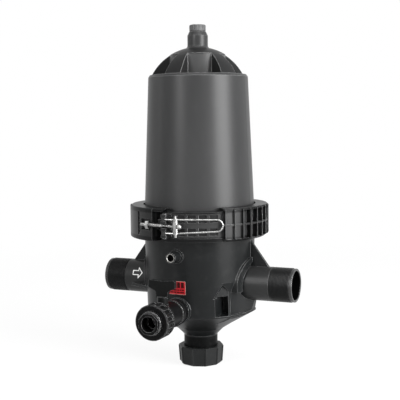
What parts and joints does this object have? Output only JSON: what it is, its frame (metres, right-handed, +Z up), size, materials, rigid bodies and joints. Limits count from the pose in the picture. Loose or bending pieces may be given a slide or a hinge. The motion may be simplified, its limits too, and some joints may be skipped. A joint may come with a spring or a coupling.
{
  "type": "screen filter",
  "caption": "In-line screen filter with a bell cover clamped to a bowl by a latched band, threaded pipe nipples and a ball valve for flushing.",
  "frame": {"origin": "centre of the inlet nipple's end face, on the pipe axis", "axes": "+X along the flow from the inlet to the outlet, +Z up along the filter's main axis, -Y to the front with the flush valve"},
  "size_m": [0.358, 0.332, 0.6002],
  "materials": {
    "housing": "satin moulded",
    "band": "satin moulded",
    "fittings": "satin moulded",
    "valve": "glossy moulded",
    "stainless": "drawn wire",
    "insert": "turned",
    "seal": "matt",
    "seat": "satin",
    "element": "satin moulded",
    "screen": "woven mesh",
    "label": "printed film",
    "marking": "print"
  },
  "bodies": {
    "housing": {"lower_body": "housing", "cover": "housing", "cover_seal": "seal", "pressure_port_insert": "insert", "valve_adapter": "valve", "valve_body": "valve", "valve_ball_seats": "seat", "element_core": "element", "element_screen": "screen", "element_base": "element", "element_seal": "seal", "element_top": "element"},
    "band_left": {"band_left_half": "band", "band_hinge_pin": "stainless"},
    "band_right": {"band_right_half": "band", "latch_pivot_pins": "stainless"},
    "bail": {"latch_bail": "stainless"},
    "tension_rod": {"latch_trunnion": "stainless", "latch_rod": "stainless", "latch_washer": "stainless", "latch_nut": "stainless"},
    "flush_handle": {"valve_ball": "valve", "valve_stem": "valve", "valve_handle": "valve"},
    "valve_end": {"valve_end_connector": "valve", "valve_seal": "seal"},
    "union_nut": {"valve_union_nut": "valve"},
    "drain_lift": {"drain_seal": "seal"},
    "drain_plug": {"drain_cap": "fittings"},
    "vent_lift": {"vent_seal": "seal"},
    "vent_plug": {"vent_cap": "fittings"}
  },
  "joints": [
    {"name": "bail_swing", "type": "hinge", "parent": "band_right", "child": "bail", "pos_m": [0.17006, -0.12468, 0.1093], "axis": [0, 0, -1], "range_deg": [0, 165]},
    {"name": "rod_swing", "type": "hinge", "parent": "bail", "child": "tension_rod", "pos_m": [0.19123, -0.12696, 0.1093], "axis": [0, 0, 1], "range_deg": [0, 165]},
    {"name": "band_left_swing", "type": "hinge", "parent": "housing", "child": "band_left", "pos_m": [0.20592, 0.11848, 0.1093], "axis": [0, 0, -1], "range_deg": [0, 0.65]},
    {"name": "band_right_swing", "type": "hinge", "parent": "housing", "child": "band_right", "pos_m": [0.20592, 0.11848, 0.1093], "axis": [0, 0, 1], "range_deg": [0, 0.65]},
    {"name": "flush_turn", "type": "hinge", "parent": "housing", "child": "flush_handle", "pos_m": [0.179, -0.153, -0.038], "axis": [0, 0, 1], "range_deg": [0, 90]},
    {"name": "union_travel", "type": "slide", "parent": "housing", "child": "valve_end", "axis": [0, -1, 0], "range_m": [0, 0.009]},
    {"name": "union_spin", "type": "hinge", "parent": "valve_end", "child": "union_nut", "pos_m": [0.179, -0.168, -0.038], "axis": [0, -1, 0], "range_deg": [0, 1080]},
    {"name": "drain_travel", "type": "slide", "parent": "housing", "child": "drain_lift", "axis": [0, 0, -1], "range_m": [0, 0.02]},
    {"name": "drain_spin", "type": "hinge", "parent": "drain_lift", "child": "drain_plug", "pos_m": [0.179, 0, -0.15], "axis": [0, 0, -1], "range_deg": [0, 1800]},
    {"name": "vent_travel", "type": "slide", "parent": "housing", "child": "vent_lift", "axis": [0, 0, 1], "range_m": [0, 0.015]},
    {"name": "vent_spin", "type": "hinge", "parent": "vent_lift", "child": "vent_plug", "pos_m": [0.179, 0, 0.437], "axis": [0, 0, 1], "range_deg": [0, 2160]}
  ],
  "couplings": [
    {"joint": "rod_swing", "follows": "bail_swing", "ratio": 1},
    {"joint": "band_left_swing", "follows": "bail_swing", "ratio": 0.0039394},
    {"joint": "band_right_swing", "follows": "bail_swing", "ratio": 0.0039394},
    {"joint": "union_travel", "follows": "union_spin", "m_per_rad": 0.00047746},
    {"joint": "drain_travel", "follows": "drain_spin", "m_per_rad": 0.00063661},
    {"joint": "vent_travel", "follows": "vent_spin", "m_per_rad": 0.00039788}
  ]
}
